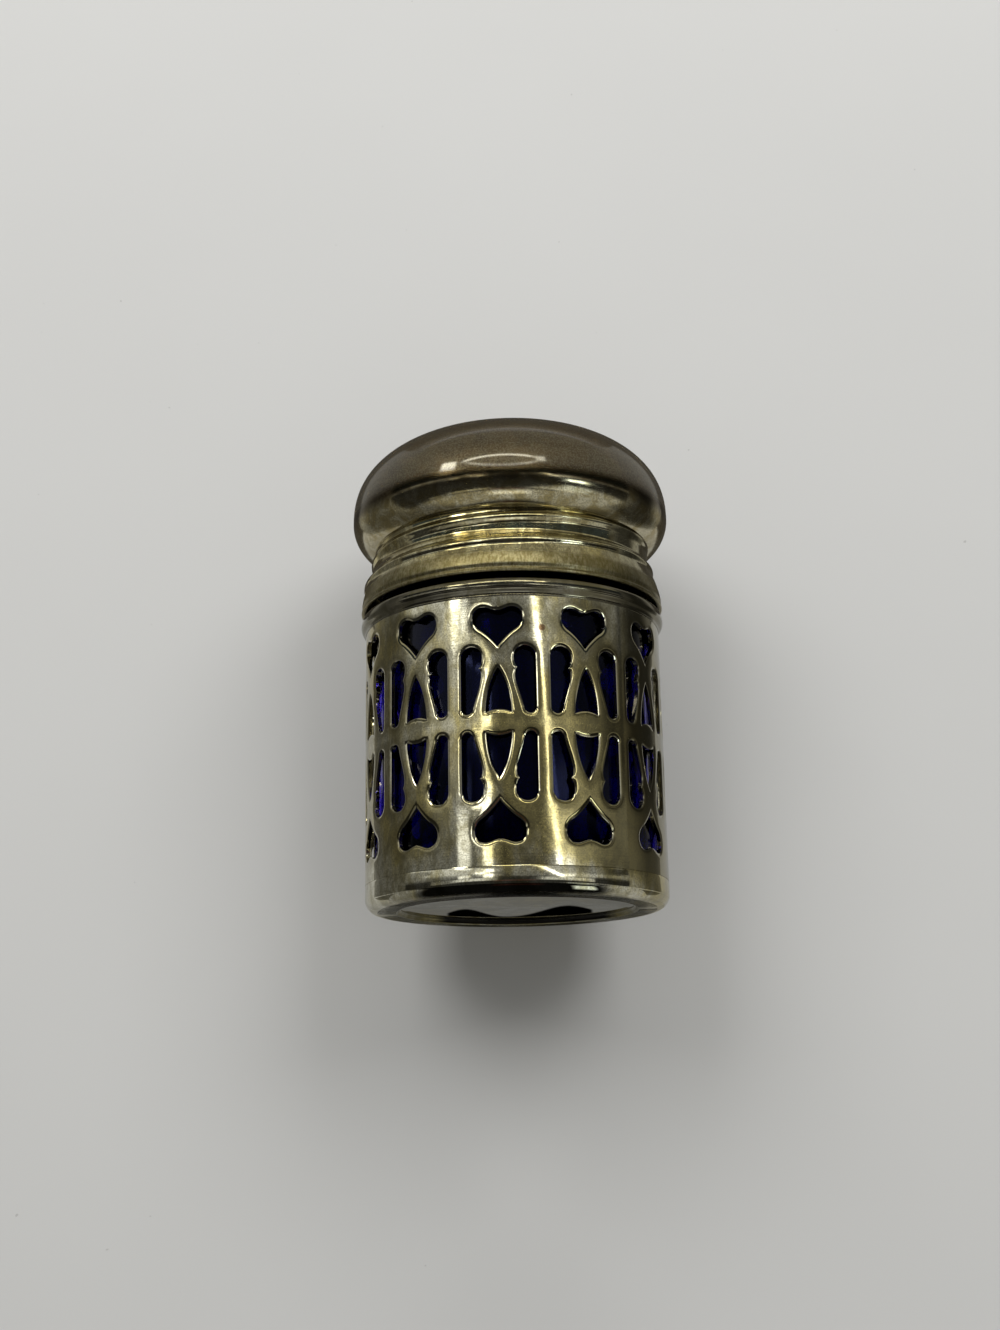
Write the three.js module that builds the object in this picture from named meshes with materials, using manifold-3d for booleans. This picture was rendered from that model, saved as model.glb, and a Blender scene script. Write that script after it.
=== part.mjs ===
// Salt shaker: a pierced silver-plated sleeve round a cobalt glass liner, with a screw cap.
// Millimetres, +Z up. The origin is the middle of the standing face, and a motif's axis faces -Y.
import * as THREE from "three";
import { mergeVertices } from "three/addons/utils/BufferGeometryUtils.js";
import Module from "manifold-3d";

const wasm = await Module();
wasm.setup();

// Driving dimensions

// Pierced wall of the sleeve
const sleeveRadius = 16.0;
const sleeveSheet = 0.5;
const lowerMargin = 2.2; // plain wall below the lowest openings
const upperMargin = 1.05; // plain wall above the highest openings

// Pattern of openings: mirrored left and right of each motif's axis, and above and below the middle
const motifPitch = 9.14; // round the wall, from one motif to the next
const postWidth = 1.44; // upright post between two motifs
const bandHeight = 1.8; // level band between the upper and lower openings
const slotLength = 6.95;
const slotHeadWidth = 2.26; // the round end, far from the band
const slotFootWidth = 1.3; // the round end at the band
const slotCuspDrop = 2.28; // from the slot's head to the small cusp on its inner edge
const slotCuspDepth = 0.35; // how far the cusp reaches in from the head's width
const slotCuspHeight = 0.63; // from the cusp to the slot's widest level below it
const slotWaistWidth = 2.15; // at that level
const slotBow = 0.18; // how far the inner edge bends outward from there on its way to the foot
const lancetLength = 4.6;
const lancetWidth = 2.66;
const lancetInset = 0.12; // from the band's edge to the lancet's foot
const lancetFootRise = 0.28; // the medallion's edge curves this far into the lancet's foot
const lancetFullness = 0.86; // share of the half width that steers the curve of its side
const lancetShoulder = 0.62; // share of its length at which that curve is steered
const heartHeight = 4.2;
const heartWidth = 5.15;
const heartNotch = 0.37;
const heartNotchReach = 0.35; // share of the half width over which the lobes fall to the notch
const heartFlankLevel = 0.42; // share of the height where the side turns from hollow to full
const heartFlankReach = 0.68; // share of the half width there
const heartFlankHollow = 0.08; // share of the height by which the side is hollow below that
const heartWidestLevel = 0.73; // share of the height where the heart is widest
const heartDip = 0.13; // the heart's point reaches this far down between the slots' heads

// Pressed base, soldered below the pierced wall
const baseHeight = 2.7;
const baseCorner = 1.3;
const recessDepth = 0.6; // of the base's middle above the standing ring
const recessSlope = 0.6;
const standingRingWidth = 2.1;

// Moulded rim, soldered on top of the pierced wall
const rimHeight = 2.05;
const rimProjection = 0.5;
const rimCoveShare = 0.4; // share of the projection that the cove reaches half way up
const rimGroove = 0.12;
const rimBeadHeight = 0.5;

// Glass liner
const linerClearance = 0.4; // between the glass and the sleeve all round
const restGap = 0.1; // under a piece that stands loose on another
const glassWall = 1.6;
const glassFloor = 2.4;
const glassHeel = 2.5; // rounding of the lower outside corner
const chamberHeel = 2.1; // rounding of the chamber's lower corner
const puntRadius = 9.0;
const puntDepth = 0.8; // hollow under the glass
const floorRise = 0.5; // of the chamber's floor over that hollow
const shoulderStep = 0.8; // from the liner's side in to its neck
const shoulderDrop = 1.4; // height of the rounded shoulder
const shoulderBelowRim = 0.3;
const lipRounding = 0.5;

// Screw thread, right-handed
const threadPitch = 2.6;
const ridgeHeight = 0.33;
const ridgeWidth = 1.5;
const ridgeCrestWidth = 0.5;
const threadSideClearance = 0.35; // between the plain neck and the collar
const threadCrestClearance = 0.15; // between the glass thread and the collar's channel
const threadFlankClearance = 0.2;
const glassThreadTurns = 1.0;
const threadRunOut = 30; // degrees over which a thread fades at its ends
const threadEndShare = 0.05; // share of its full section that a thread keeps at its very end
const frontCrestAboveEdge = 3.65; // where the collar's lower ridge crosses the front, above the skirt's edge

// Cap collar, sealing ring and dome
const skirtGap = 0.5; // between the sleeve's rim and the skirt's edge
const collarHeight = 7.0;
const collarSheet = 0.45;
const flareHeight = 4.9; // the lower part of the collar, which widens to the skirt's edge
const ridgeFreeSkirt = 2.2; // plain part of the skirt, below the lowest thread ridge
const flangeWidth = 2.2; // the collar's top, turned inward
const sealThickness = 0.8;
const sealWidth = 1.3;
const domeOverhang = 2.34; // of the dome beyond the collar
const domeUnderside = 3.5; // from the collar's top to the dome's widest level
const domeTuck = 4.44; // half width of the ellipse that shapes the underside
const domeHeight = 10.0; // from the widest level to the crown
const domeSquareness = 2.4; // exponent of the crown's superellipse, where 2 is a plain ellipse
const domeSheet = 0.5;
const domeSeatWidth = 0.6;
const sprinkleHoleRadius = 0.7;
const sprinkleRingRadius = 2.9;
const sprinkleRingHoles = 6;
const sprinkleHoleFacets = 8;

// Fineness of the round surfaces
const facetsPerMotif = 4;
const cutterMargin = 0.6; // how far a cutter reaches past the sheet that it cuts
const curveSteps = { slot: 2, lancet: 2, heart: 3, rounding: 3, punt: 3, flare: 5, tuck: 3, crown: 6 };

// Worked-out sizes

const motifCount = Math.round((2 * Math.PI * sleeveRadius) / motifPitch);
const facets = facetsPerMotif * motifCount;
const slotOuterEdge = (motifPitch - postWidth) / 2;
const slotTop = bandHeight / 2 + slotLength;
const heartPoint = slotTop - heartDip;
const patternHalfHeight = heartPoint + heartHeight;

const sleeveBore = sleeveRadius - sleeveSheet;
const patternMiddle = baseHeight + lowerMargin + patternHalfHeight;
const wallTop = patternMiddle + patternHalfHeight + upperMargin;
const rimTop = wallTop + rimHeight;
const rimRadius = sleeveRadius + rimProjection;

const linerFoot = recessDepth + sleeveSheet + restGap;
const linerRadius = sleeveBore - linerClearance;
const chamberRadius = linerRadius - glassWall;
const shoulderTop = rimTop - shoulderBelowRim;
const neckRadius = linerRadius - shoulderStep;
const mouthRadius = neckRadius - glassWall;

const skirtEdge = rimTop + skirtGap;
const collarTop = skirtEdge + collarHeight;
const collarBore = neckRadius + threadSideClearance;
const collarRadius = collarBore + collarSheet;
const flangeUnderside = collarTop - collarSheet;
const sealTop = flangeUnderside - restGap;
const sealFoot = sealTop - sealThickness;
const linerTop = sealFoot - restGap;
const frontCrest = skirtEdge + frontCrestAboveEdge;
const glassThreadRadius = collarBore + ridgeHeight - threadCrestClearance;

const domeRadius = collarRadius + domeOverhang;
const domeWidest = collarTop + domeUnderside;

// Geometry helpers

function polar(radius, height) {
  return new THREE.Vector2(radius, height);
}

function arc(centre, radiusAcross, radiusUp, fromDegrees, toDegrees, steps) {
  const points = [];
  for (let step = 0; step <= steps; step += 1) {
    const angle = THREE.MathUtils.degToRad(THREE.MathUtils.lerp(fromDegrees, toDegrees, step / steps));
    points.push(polar(centre.x + radiusAcross * Math.cos(angle), centre.y + radiusUp * Math.sin(angle)));
  }
  return points;
}

// Keeps only positions, joins equal corners and drops the triangles that close up on the axis.
function cleaned(geometry) {
  geometry.deleteAttribute("normal");
  geometry.deleteAttribute("uv");
  const merged = mergeVertices(geometry, 1e-5);
  const kept = [];
  const corners = merged.index.array;
  for (let first = 0; first < corners.length; first += 3) {
    const [a, b, c] = corners.subarray(first, first + 3);
    if (a !== b && b !== c && c !== a) {
      kept.push(a, b, c);
    }
  }
  merged.setIndex(kept);
  return merged;
}

function toSolid(geometry) {
  const mesh = cleaned(geometry);
  return new wasm.Manifold(
    new wasm.Mesh({
      numProp: 3,
      vertProperties: Float32Array.from(mesh.attributes.position.array),
      triVerts: Uint32Array.from(mesh.index.array),
    }),
  );
}

function toGeometry(solid) {
  const mesh = solid.getMesh();
  const geometry = new THREE.BufferGeometry();
  geometry.setAttribute("position", new THREE.BufferAttribute(mesh.vertProperties, 3));
  geometry.setIndex(new THREE.BufferAttribute(mesh.triVerts, 1));
  return geometry;
}

// A profile runs up on the outside and down on the inside, as points of radius and height.
function revolved(profile) {
  return new THREE.LatheGeometry(profile, facets).rotateX(Math.PI / 2);
}

function ring(profile) {
  return revolved([...profile, profile[0]]);
}

// A rib that climbs round the axis. At each step its section has a root, a crest and a fading size.
// Its steps fall on the corners of the round surfaces, counted from where it crosses the front.
function helicalRib({ fromHeight, toHeight, rootAt, crestAt, rootWidth, crestWidth }) {
  const firstStep = Math.ceil(((fromHeight - frontCrest) / threadPitch) * facets);
  const steps = Math.floor(((toHeight - frontCrest) / threadPitch) * facets) - firstStep;
  const corners = 4;
  const positions = [];
  const triangles = [];
  for (let step = 0; step <= steps; step += 1) {
    const height = frontCrest + (threadPitch * (firstStep + step)) / facets;
    const angle = (2 * Math.PI * (firstStep + step)) / facets;
    const degreesToEnd = (Math.min(step, steps - step) * 360) / facets;
    const size = THREE.MathUtils.clamp(degreesToEnd / threadRunOut, threadEndShare, 1);
    const root = rootAt(height);
    const crest = THREE.MathUtils.lerp(root, crestAt(height), size);
    const section = [
      [root, -rootWidth / 2],
      [crest, -crestWidth / 2],
      [crest, crestWidth / 2],
      [root, rootWidth / 2],
    ];
    for (const [radius, offset] of section) {
      positions.push(radius * Math.sin(angle), -radius * Math.cos(angle), height + offset * size);
    }
  }
  for (let step = 0; step < steps; step += 1) {
    for (let corner = 0; corner < corners; corner += 1) {
      const here = step * corners + corner;
      const above = step * corners + ((corner + 1) % corners);
      triangles.push(here, here + corners, above, above, here + corners, above + corners);
    }
  }
  const last = steps * corners;
  triangles.push(0, 1, 2, 0, 2, 3);
  triangles.push(last, last + 2, last + 1, last, last + 3, last + 2);
  const rib = new THREE.BufferGeometry();
  rib.setAttribute("position", new THREE.BufferAttribute(new Float32Array(positions), 3));
  rib.setIndex(triangles);
  return rib;
}

// Pierced wall

// One side slot: a straight outer edge, a round head, a small cusp and an inner edge that
// leans outward to the round foot, where the curved straps of the motif cross the band.
function slotShape() {
  const head = slotHeadWidth / 2;
  const foot = slotFootWidth / 2;
  const innerEdge = slotOuterEdge - slotHeadWidth;
  const headMiddle = slotTop - head;
  const footMiddle = bandHeight / 2 + foot;
  const cusp = slotTop - slotCuspDrop;
  const waist = cusp - slotCuspHeight;
  const shape = new THREE.Shape();
  shape.moveTo(slotOuterEdge, footMiddle);
  shape.lineTo(slotOuterEdge, headMiddle);
  shape.absarc(slotOuterEdge - head, headMiddle, head, 0, Math.PI, false);
  shape.lineTo(innerEdge + slotCuspDepth, cusp);
  shape.lineTo(slotOuterEdge - slotWaistWidth, waist);
  shape.quadraticCurveTo(
    slotOuterEdge - slotWaistWidth + slotBow,
    (waist + footMiddle) / 2,
    slotOuterEdge - slotFootWidth,
    footMiddle,
  );
  shape.absarc(slotOuterEdge - foot, footMiddle, foot, Math.PI, 2 * Math.PI, false);
  return shape;
}

function mirrored(shape, steps) {
  return new THREE.Shape(shape.getPoints(steps).map((point) => new THREE.Vector2(-point.x, point.y)));
}

// A pointed opening on the motif's axis, standing on the medallion at the middle of the band.
function lancetShape() {
  const foot = bandHeight / 2 + lancetInset;
  const tip = foot + lancetLength;
  const halfWidth = lancetWidth / 2;
  const fullWidth = halfWidth * lancetFullness;
  const shoulder = foot + lancetLength * lancetShoulder;
  const shape = new THREE.Shape();
  shape.moveTo(halfWidth, foot);
  shape.quadraticCurveTo(fullWidth, shoulder, 0, tip);
  shape.quadraticCurveTo(-fullWidth, shoulder, -halfWidth, foot);
  shape.quadraticCurveTo(0, foot + 2 * lancetFootRise, halfWidth, foot);
  return shape;
}

// A heart with its point towards the band: hollow flanks, full lobes and a shallow notch between them.
function heartShape() {
  const halfWidth = heartWidth / 2;
  const top = heartPoint + heartHeight;
  const flank = heartPoint + heartHeight * heartFlankLevel;
  const flankReach = halfWidth * heartFlankReach;
  const hollow = (heartPoint + flank) / 2 + heartHeight * heartFlankHollow;
  const widest = heartPoint + heartHeight * heartWidestLevel;
  const corner = flank + (widest - flank) * heartNotchReach;
  const lobeReach = halfWidth * heartNotchReach;
  const lobeRise = top + heartNotch / 2;
  const shape = new THREE.Shape();
  shape.moveTo(0, heartPoint);
  shape.quadraticCurveTo(flankReach / 2, hollow, flankReach, flank);
  shape.quadraticCurveTo(halfWidth, corner, halfWidth, widest);
  shape.bezierCurveTo(halfWidth, top, lobeReach, lobeRise, 0, top - heartNotch);
  shape.bezierCurveTo(-lobeReach, lobeRise, -halfWidth, top, -halfWidth, widest);
  shape.quadraticCurveTo(-halfWidth, corner, -flankReach, flank);
  shape.quadraticCurveTo(-flankReach / 2, hollow, 0, heartPoint);
  return shape;
}

// Each opening is cut square to the wall at its own middle. The lower half of a motif is its
// upper half turned over.
function piercedWall() {
  let wall = toSolid(ring([
    polar(sleeveRadius, baseHeight),
    polar(sleeveRadius, wallTop),
    polar(sleeveBore, wallTop),
    polar(sleeveBore, baseHeight),
  ]));
  const slot = slotShape();
  const slotMiddle = slotOuterEdge - slotHeadWidth / 2;
  const openings = [
    { shape: slot, middle: slotMiddle, curveSegments: curveSteps.slot },
    { shape: mirrored(slot, curveSteps.slot), middle: -slotMiddle, curveSegments: curveSteps.slot },
    { shape: lancetShape(), middle: 0, curveSegments: curveSteps.lancet },
    { shape: heartShape(), middle: 0, curveSegments: curveSteps.heart },
  ];
  const depth = sleeveSheet + 2 * cutterMargin;
  const motifAngle = (2 * Math.PI) / motifCount;
  for (let motif = 0; motif < motifCount; motif += 1) {
    for (const turnedOver of [0, Math.PI]) {
      for (const { shape, middle, curveSegments } of openings) {
        const side = middle * Math.cos(turnedOver);
        const cutter = new THREE.ExtrudeGeometry(shape, { depth, bevelEnabled: false, curveSegments });
        cutter.translate(-middle, 0, sleeveBore - cutterMargin);
        cutter.rotateZ(turnedOver).rotateX(Math.PI / 2);
        cutter.rotateZ((motif + side / motifPitch) * motifAngle);
        cutter.translate(0, 0, patternMiddle);
        wall = wall.subtract(toSolid(cutter));
      }
    }
  }
  return toGeometry(wall);
}

// Pressed base and moulded rim

function pressedBase() {
  const corner = polar(sleeveRadius - baseCorner, baseCorner);
  const ringInner = sleeveRadius - baseCorner - standingRingWidth;
  const floor = recessDepth + sleeveSheet;
  const innerCorner = baseCorner - sleeveSheet;
  return revolved([
    polar(0, recessDepth),
    polar(ringInner - recessSlope, recessDepth),
    polar(ringInner, 0),
    ...arc(corner, baseCorner, baseCorner, -90, 0, curveSteps.rounding),
    polar(sleeveRadius, baseHeight),
    polar(sleeveBore, baseHeight),
    ...arc(corner, innerCorner, innerCorner, 0, -90, curveSteps.rounding),
    polar(ringInner + sleeveSheet, sleeveSheet),
    polar(ringInner - recessSlope + sleeveSheet, floor),
    polar(0, floor),
  ]);
}

// A hollow curve out from the wall, the main bead, a fine groove and a thin upper bead.
function rimMoulding() {
  const beadFoot = rimTop - 2 * rimBeadHeight;
  const grooveLevel = rimTop - rimBeadHeight;
  return ring([
    polar(sleeveRadius, wallTop),
    polar(sleeveRadius + rimProjection * rimCoveShare, (wallTop + beadFoot) / 2),
    polar(rimRadius - rimGroove, beadFoot - rimGroove),
    polar(rimRadius, beadFoot + rimGroove),
    polar(rimRadius - rimGroove, grooveLevel),
    polar(rimRadius, grooveLevel + rimGroove * 2),
    polar(rimRadius - rimGroove * 2, rimTop),
    polar(sleeveBore, rimTop),
    polar(sleeveBore, wallTop),
  ]);
}

// Glass liner

function glassLiner() {
  const floor = linerFoot + glassFloor;
  const heel = polar(linerRadius - glassHeel, linerFoot + glassHeel);
  const shoulder = polar(neckRadius, shoulderTop - shoulderDrop);
  const innerHeel = polar(chamberRadius - chamberHeel, floor + chamberHeel);
  const body = revolved([
    ...arc(polar(0, linerFoot), puntRadius, puntDepth, 90, 0, curveSteps.punt),
    ...arc(heel, glassHeel, glassHeel, -90, 0, curveSteps.rounding),
    ...arc(shoulder, shoulderStep, shoulderDrop, 0, 90, curveSteps.rounding),
    polar(neckRadius, linerTop - lipRounding),
    polar(neckRadius - lipRounding, linerTop),
    polar(mouthRadius + lipRounding, linerTop),
    polar(mouthRadius, linerTop - lipRounding),
    polar(mouthRadius, shoulderTop),
    polar(chamberRadius, shoulder.y),
    ...arc(innerHeel, chamberHeel, chamberHeel, 0, -90, curveSteps.rounding),
    ...arc(polar(0, floor), puntRadius, floorRise, 0, 90, curveSteps.punt),
  ]);
  const threadTop = linerTop - lipRounding - ridgeWidth / 2;
  const thread = helicalRib({
    fromHeight: threadTop - glassThreadTurns * threadPitch,
    toHeight: threadTop,
    rootAt: () => neckRadius - glassWall / 2,
    crestAt: () => glassThreadRadius,
    rootWidth: ridgeWidth - threadFlankClearance,
    crestWidth: ridgeCrestWidth - threadFlankClearance,
  });
  return toGeometry(toSolid(body).add(toSolid(thread)));
}

// Cap

// Outside radius of the collar's sheet, without its thread ridges.
function collarRadiusAt(height) {
  const share = THREE.MathUtils.clamp((height - skirtEdge) / flareHeight, 0, 1);
  return collarRadius + (rimRadius - collarRadius) * Math.cos((share * Math.PI) / 2);
}

// A plain round block that limits what is added to the collar or cut from it.
function collarLimit(foot, top) {
  const reach = 2 * rimRadius;
  return toSolid(revolved([polar(0, foot), polar(reach, foot), polar(reach, top), polar(0, top)]));
}

function threadedCollar() {
  const outside = [];
  for (let step = 0; step <= curveSteps.flare; step += 1) {
    const height = skirtEdge + (flareHeight * step) / curveSteps.flare;
    outside.push(polar(collarRadiusAt(height), height));
  }
  const inside = outside.map((point) => polar(point.x - collarSheet, point.y)).reverse();
  const sheet = toSolid(ring([
    ...outside,
    polar(collarRadius, collarTop),
    polar(collarRadius - flangeWidth, collarTop),
    polar(collarRadius - flangeWidth, flangeUnderside),
    polar(collarBore, flangeUnderside),
    ...inside,
  ]));
  const lowestRidge = skirtEdge + ridgeFreeSkirt;
  const ridge = toSolid(helicalRib({
    fromHeight: lowestRidge,
    toHeight: collarTop,
    rootAt: (height) => collarRadiusAt(height) - collarSheet / 2,
    crestAt: (height) => collarRadiusAt(height) + ridgeHeight,
    rootWidth: ridgeWidth,
    crestWidth: ridgeCrestWidth,
  }));
  const channel = toSolid(helicalRib({
    fromHeight: lowestRidge,
    toHeight: collarTop,
    rootAt: (height) => collarRadiusAt(height) - 2 * collarSheet,
    crestAt: (height) => collarRadiusAt(height) + ridgeHeight - collarSheet,
    rootWidth: ridgeWidth,
    crestWidth: ridgeCrestWidth,
  }));
  const ridgeInPlace = ridge.intersect(collarLimit(skirtEdge, collarTop));
  const channelInPlace = channel.intersect(collarLimit(skirtEdge, flangeUnderside));
  return toGeometry(sheet.add(ridgeInPlace).subtract(channelInPlace));
}

// The dome's outline: an ellipse curls out from the collar, then a squarish crown closes over it.
function domeOutline(inset) {
  const tuckMiddle = domeRadius - domeTuck;
  const across = domeTuck - inset;
  const cosine = (collarRadius - tuckMiddle) / domeTuck;
  const startDegrees = -THREE.MathUtils.radToDeg(Math.acos(cosine));
  const up = domeUnderside / Math.sqrt(1 - cosine * cosine) - inset;
  const points = arc(polar(tuckMiddle, domeWidest), across, up, startDegrees, 0, curveSteps.tuck);
  for (let step = 1; step <= curveSteps.crown; step += 1) {
    const angle = (step / curveSteps.crown) * (Math.PI / 2);
    const radius = (domeRadius - inset) * Math.cos(angle) ** (2 / domeSquareness);
    const height = domeWidest + (domeHeight - inset) * Math.sin(angle) ** (2 / domeSquareness);
    points.push(polar(step === curveSteps.crown ? 0 : radius, height));
  }
  return points;
}

function perforatedDome() {
  const seatInner = polar(collarRadius - domeSeatWidth, collarTop);
  let shell = toSolid(ring([seatInner, ...domeOutline(0), ...domeOutline(domeSheet).reverse()]));
  const crown = domeWidest + domeHeight;
  const drill = (x, y) => {
    const bit = new THREE.CylinderGeometry(
      sprinkleHoleRadius,
      sprinkleHoleRadius,
      domeHeight,
      sprinkleHoleFacets,
    );
    shell = shell.subtract(toSolid(bit.rotateX(Math.PI / 2).translate(x, y, crown)));
  };
  drill(0, 0);
  for (let hole = 0; hole < sprinkleRingHoles; hole += 1) {
    const angle = (2 * Math.PI * hole) / sprinkleRingHoles;
    drill(sprinkleRingRadius * Math.cos(angle), sprinkleRingRadius * Math.sin(angle));
  }
  return toGeometry(shell);
}

// Thin ring between the glass lip and the collar's flange

function sealRing() {
  return ring([
    polar(neckRadius, sealFoot),
    polar(neckRadius, sealTop),
    polar(neckRadius - sealWidth, sealTop),
    polar(neckRadius - sealWidth, sealFoot),
  ]);
}

// Materials and scene graph

const silver = { roughness: 0.28, metalness: 1.0 };

function mesh(name, geometry, material) {
  const piece = new THREE.Mesh(cleaned(geometry), new THREE.MeshStandardMaterial(material));
  piece.name = name;
  return piece;
}

const sleeve = new THREE.Group();
sleeve.add(
  mesh("pressed_base", pressedBase(), { color: 0xb9b6a6, ...silver }),
  mesh("pierced_wall", piercedWall(), { color: 0xc2bfa8, ...silver }),
  mesh("rim_moulding", rimMoulding(), { color: 0xb4b19d, ...silver }),
);

const cap = new THREE.Group();
cap.add(
  mesh("threaded_collar", threadedCollar(), { color: 0xa8a37e, roughness: 0.38, metalness: 1.0 }),
  mesh("perforated_dome", perforatedDome(), { color: 0xb2a88c, roughness: 0.3, metalness: 1.0 }),
);

const shaker = new THREE.Group();
shaker.add(
  sleeve,
  mesh("glass_liner", glassLiner(), { color: 0x0b1470, roughness: 0.05, metalness: 0.0 }),
  mesh("seal_ring", sealRing(), { color: 0xb08c5c, roughness: 0.9, metalness: 0.0 }),
  cap,
);

export default shaker;
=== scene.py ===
import math

import bpy
import numpy as np
from mathutils import Matrix, Vector
from mathutils.geometry import delaunay_2d_cdt


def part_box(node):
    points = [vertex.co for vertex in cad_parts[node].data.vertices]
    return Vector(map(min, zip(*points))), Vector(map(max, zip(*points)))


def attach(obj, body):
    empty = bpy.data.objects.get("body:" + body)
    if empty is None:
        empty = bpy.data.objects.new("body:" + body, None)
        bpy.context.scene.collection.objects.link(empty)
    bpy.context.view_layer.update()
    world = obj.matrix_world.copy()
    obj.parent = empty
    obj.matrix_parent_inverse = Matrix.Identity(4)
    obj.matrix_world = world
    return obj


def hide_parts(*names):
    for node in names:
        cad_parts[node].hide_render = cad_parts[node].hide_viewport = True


# Looks of a salt shaker: a pierced silver-plated sleeve, a cobalt glass liner and a screw cap.
# Lengths are millimetres until a mesh, lamp or camera is made. +Z is up and a motif's axis faces -Y.

MM = 0.001
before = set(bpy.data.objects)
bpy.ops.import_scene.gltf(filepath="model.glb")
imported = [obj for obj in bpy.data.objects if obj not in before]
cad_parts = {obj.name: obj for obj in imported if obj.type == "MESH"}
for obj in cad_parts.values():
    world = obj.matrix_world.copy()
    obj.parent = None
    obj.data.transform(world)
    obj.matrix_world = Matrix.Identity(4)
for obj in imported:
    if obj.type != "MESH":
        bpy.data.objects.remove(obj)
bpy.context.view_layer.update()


def extent(node):
    """Radius, foot and top of a CAD node."""
    low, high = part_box(node)
    return high.x / MM, low.z / MM, high.z / MM


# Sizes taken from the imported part

SLEEVE_RADIUS, WALL_FOOT, WALL_TOP = extent("pierced_wall")
BASE_TOP = extent("pressed_base")[2]
RIM_RADIUS, _, RIM_TOP = extent("rim_moulding")
LINER_RADIUS, LINER_FOOT, LINER_TOP = extent("glass_liner")
NECK_RADIUS, SEAL_FOOT, SEAL_TOP = extent("seal_ring")
SKIRT_RADIUS, SKIRT_EDGE, COLLAR_TOP = extent("threaded_collar")
DOME_RADIUS, _, DOME_TOP = extent("perforated_dome")

# Sizes that the part's source also holds

SHEET = 0.5
MOTIFS = 11
POST_WIDTH = 1.44
BAND_HEIGHT = 1.8
PATTERN_MIDDLE = 16.82
BASE_CORNER = 1.3
COLLAR_RADIUS = 15.1
COLLAR_SHEET = 0.45
FLARE_HEIGHT = 4.9
FLANGE_WIDTH = 2.2
THREAD_PITCH = 2.6
FRONT_CREST = 35.99
RIDGE_HEIGHT = 0.33
RIDGE_WIDTH = 1.5
RIDGE_FREE_SKIRT = 2.2
RUN_OUT_DEGREES = 30.0
THREAD_CLEARANCE = 0.15
GLASS_WALL = 1.6
GLASS_FLOOR = 2.4
GLASS_HEEL = 2.5
CHAMBER_HEEL = 2.1
PUNT_RADIUS = 9.0
LIP_ROUNDING = 0.5
SHOULDER_BELOW_RIM = 0.3
SHOULDER_DROP = 1.4
DOME_SEAT = 0.6
DOME_WIDEST = 42.84
DOME_TUCK = 4.44
DOME_SQUARENESS = 2.4
HOLE_RADIUS = 0.7
HOLE_RING = 2.9
HOLE_COUNT = 6

# Openings, measured from the band's edge and the motif's axis

SLOT_LENGTH = 6.95
SLOT_HEAD = 1.13
SLOT_FOOT = 0.65
CUSP_DROP = 2.28
CUSP_REACH = 0.35
WAIST_DROP = 0.62
WAIST_REACH = 0.11
LANCET_FOOT = 0.1
LANCET_TIP = 4.72
LANCET_HALF_WIDTH = 1.33
MEDALLION_RISE = 0.3
HEART_POINT = 6.82
HEART_HEIGHT = 4.2
HEART_HALF_WIDTH = 2.575
HEART_NOTCH = 0.37
PATCH_TOP = 12.5

# Small forms of the turned pieces

RECESS = 0.45
STANDING_RING = (12.75, 13.6)
SKIRT_BEAD = 0.2
SKIRT_BEAD_TOP = 0.9
CROWN_REACH = 4.6
HOLE_ROLL = 0.06
SEAL_WIDTH = 1.3
SEAL_BEVEL = 0.12

# Fineness

TURN_STEPS = 176
COLLAR_STEPS = 240
GLASS_STEPS = 144
SEAL_STEPS = 96
HOLE_STEPS = 28
OUTLINE_STEP = 0.17
OUTER_SPACING = 0.5
INNER_SPACING = 0.7
CROWN_SPACING = 0.45
MARGIN_COLUMNS = 11
MARGIN_ROWS = 5
ROLL_DEPTH = 0.09
ROLL_WIDTH = 0.42
EDGE_RINGS = (0.05, 0.12, 0.21, 0.32, 0.45)
HOLE_RINGS = (0.0, 0.09, 0.22, 0.42)


# Mesh helpers


def linked(name, data):
    obj = bpy.data.objects.new(name, data)
    bpy.context.scene.collection.objects.link(obj)
    return obj


def to_object(name, vertices, faces, material, sharp_degrees=38.0):
    mesh = bpy.data.meshes.new(name)
    mesh.from_pydata((np.asarray(vertices, float) * MM).tolist(), [], faces)
    mesh.validate()
    mesh.polygons.foreach_set("use_smooth", [True] * len(mesh.polygons))
    mesh.set_sharp_from_angle(angle=math.radians(sharp_degrees))
    mesh.materials.append(material)
    return linked(name, mesh)


class Patchwork:
    """Corners and faces, gathered patch by patch."""

    def __init__(self):
        self.points, self.faces = [], []

    def add(self, points, faces, reverse=False):
        first, order = len(self.points), -1 if reverse else 1
        self.points += [tuple(p) for p in points]
        self.faces += [[first + int(n) for n in face[::order]] for face in faces]


def welded(vertices, faces):
    """Joins corners that lie at the same place and drops what collapses with them."""
    vertices = np.asarray(vertices, float)
    keys = np.round(vertices * 2000.0).astype(np.int64)
    _, first, place = np.unique(keys, axis=0, return_index=True, return_inverse=True)
    place = place.reshape(-1)
    kept = []
    for face in faces:
        corners = [int(place[index]) for index in face]
        loop = [c for n, c in enumerate(corners) if c != corners[n - 1]]
        if len(loop) > 2:
            kept.append(loop)
    return vertices[first], kept


def spun(sections):
    """Corners of sections, points of radius and height, that stand round the axis from -Y on."""
    angles = 2 * math.pi * np.arange(len(sections))[:, None] / len(sections)
    radii, heights = sections[..., 0], sections[..., 1]
    return np.stack((radii * np.sin(angles), -radii * np.cos(angles), heights), axis=-1).reshape(-1, 3)


def ring_faces(steps, count, gap=None):
    """Faces between closed sections round the axis, left open after the corner named as the gap."""
    faces = []
    for step in range(steps):
        here, there = step * count, ((step + 1) % steps) * count
        for corner in range(count):
            above = (corner + 1) % count
            if corner != gap:
                faces.append((here + corner, there + corner, there + above, here + above))
    return faces


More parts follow.
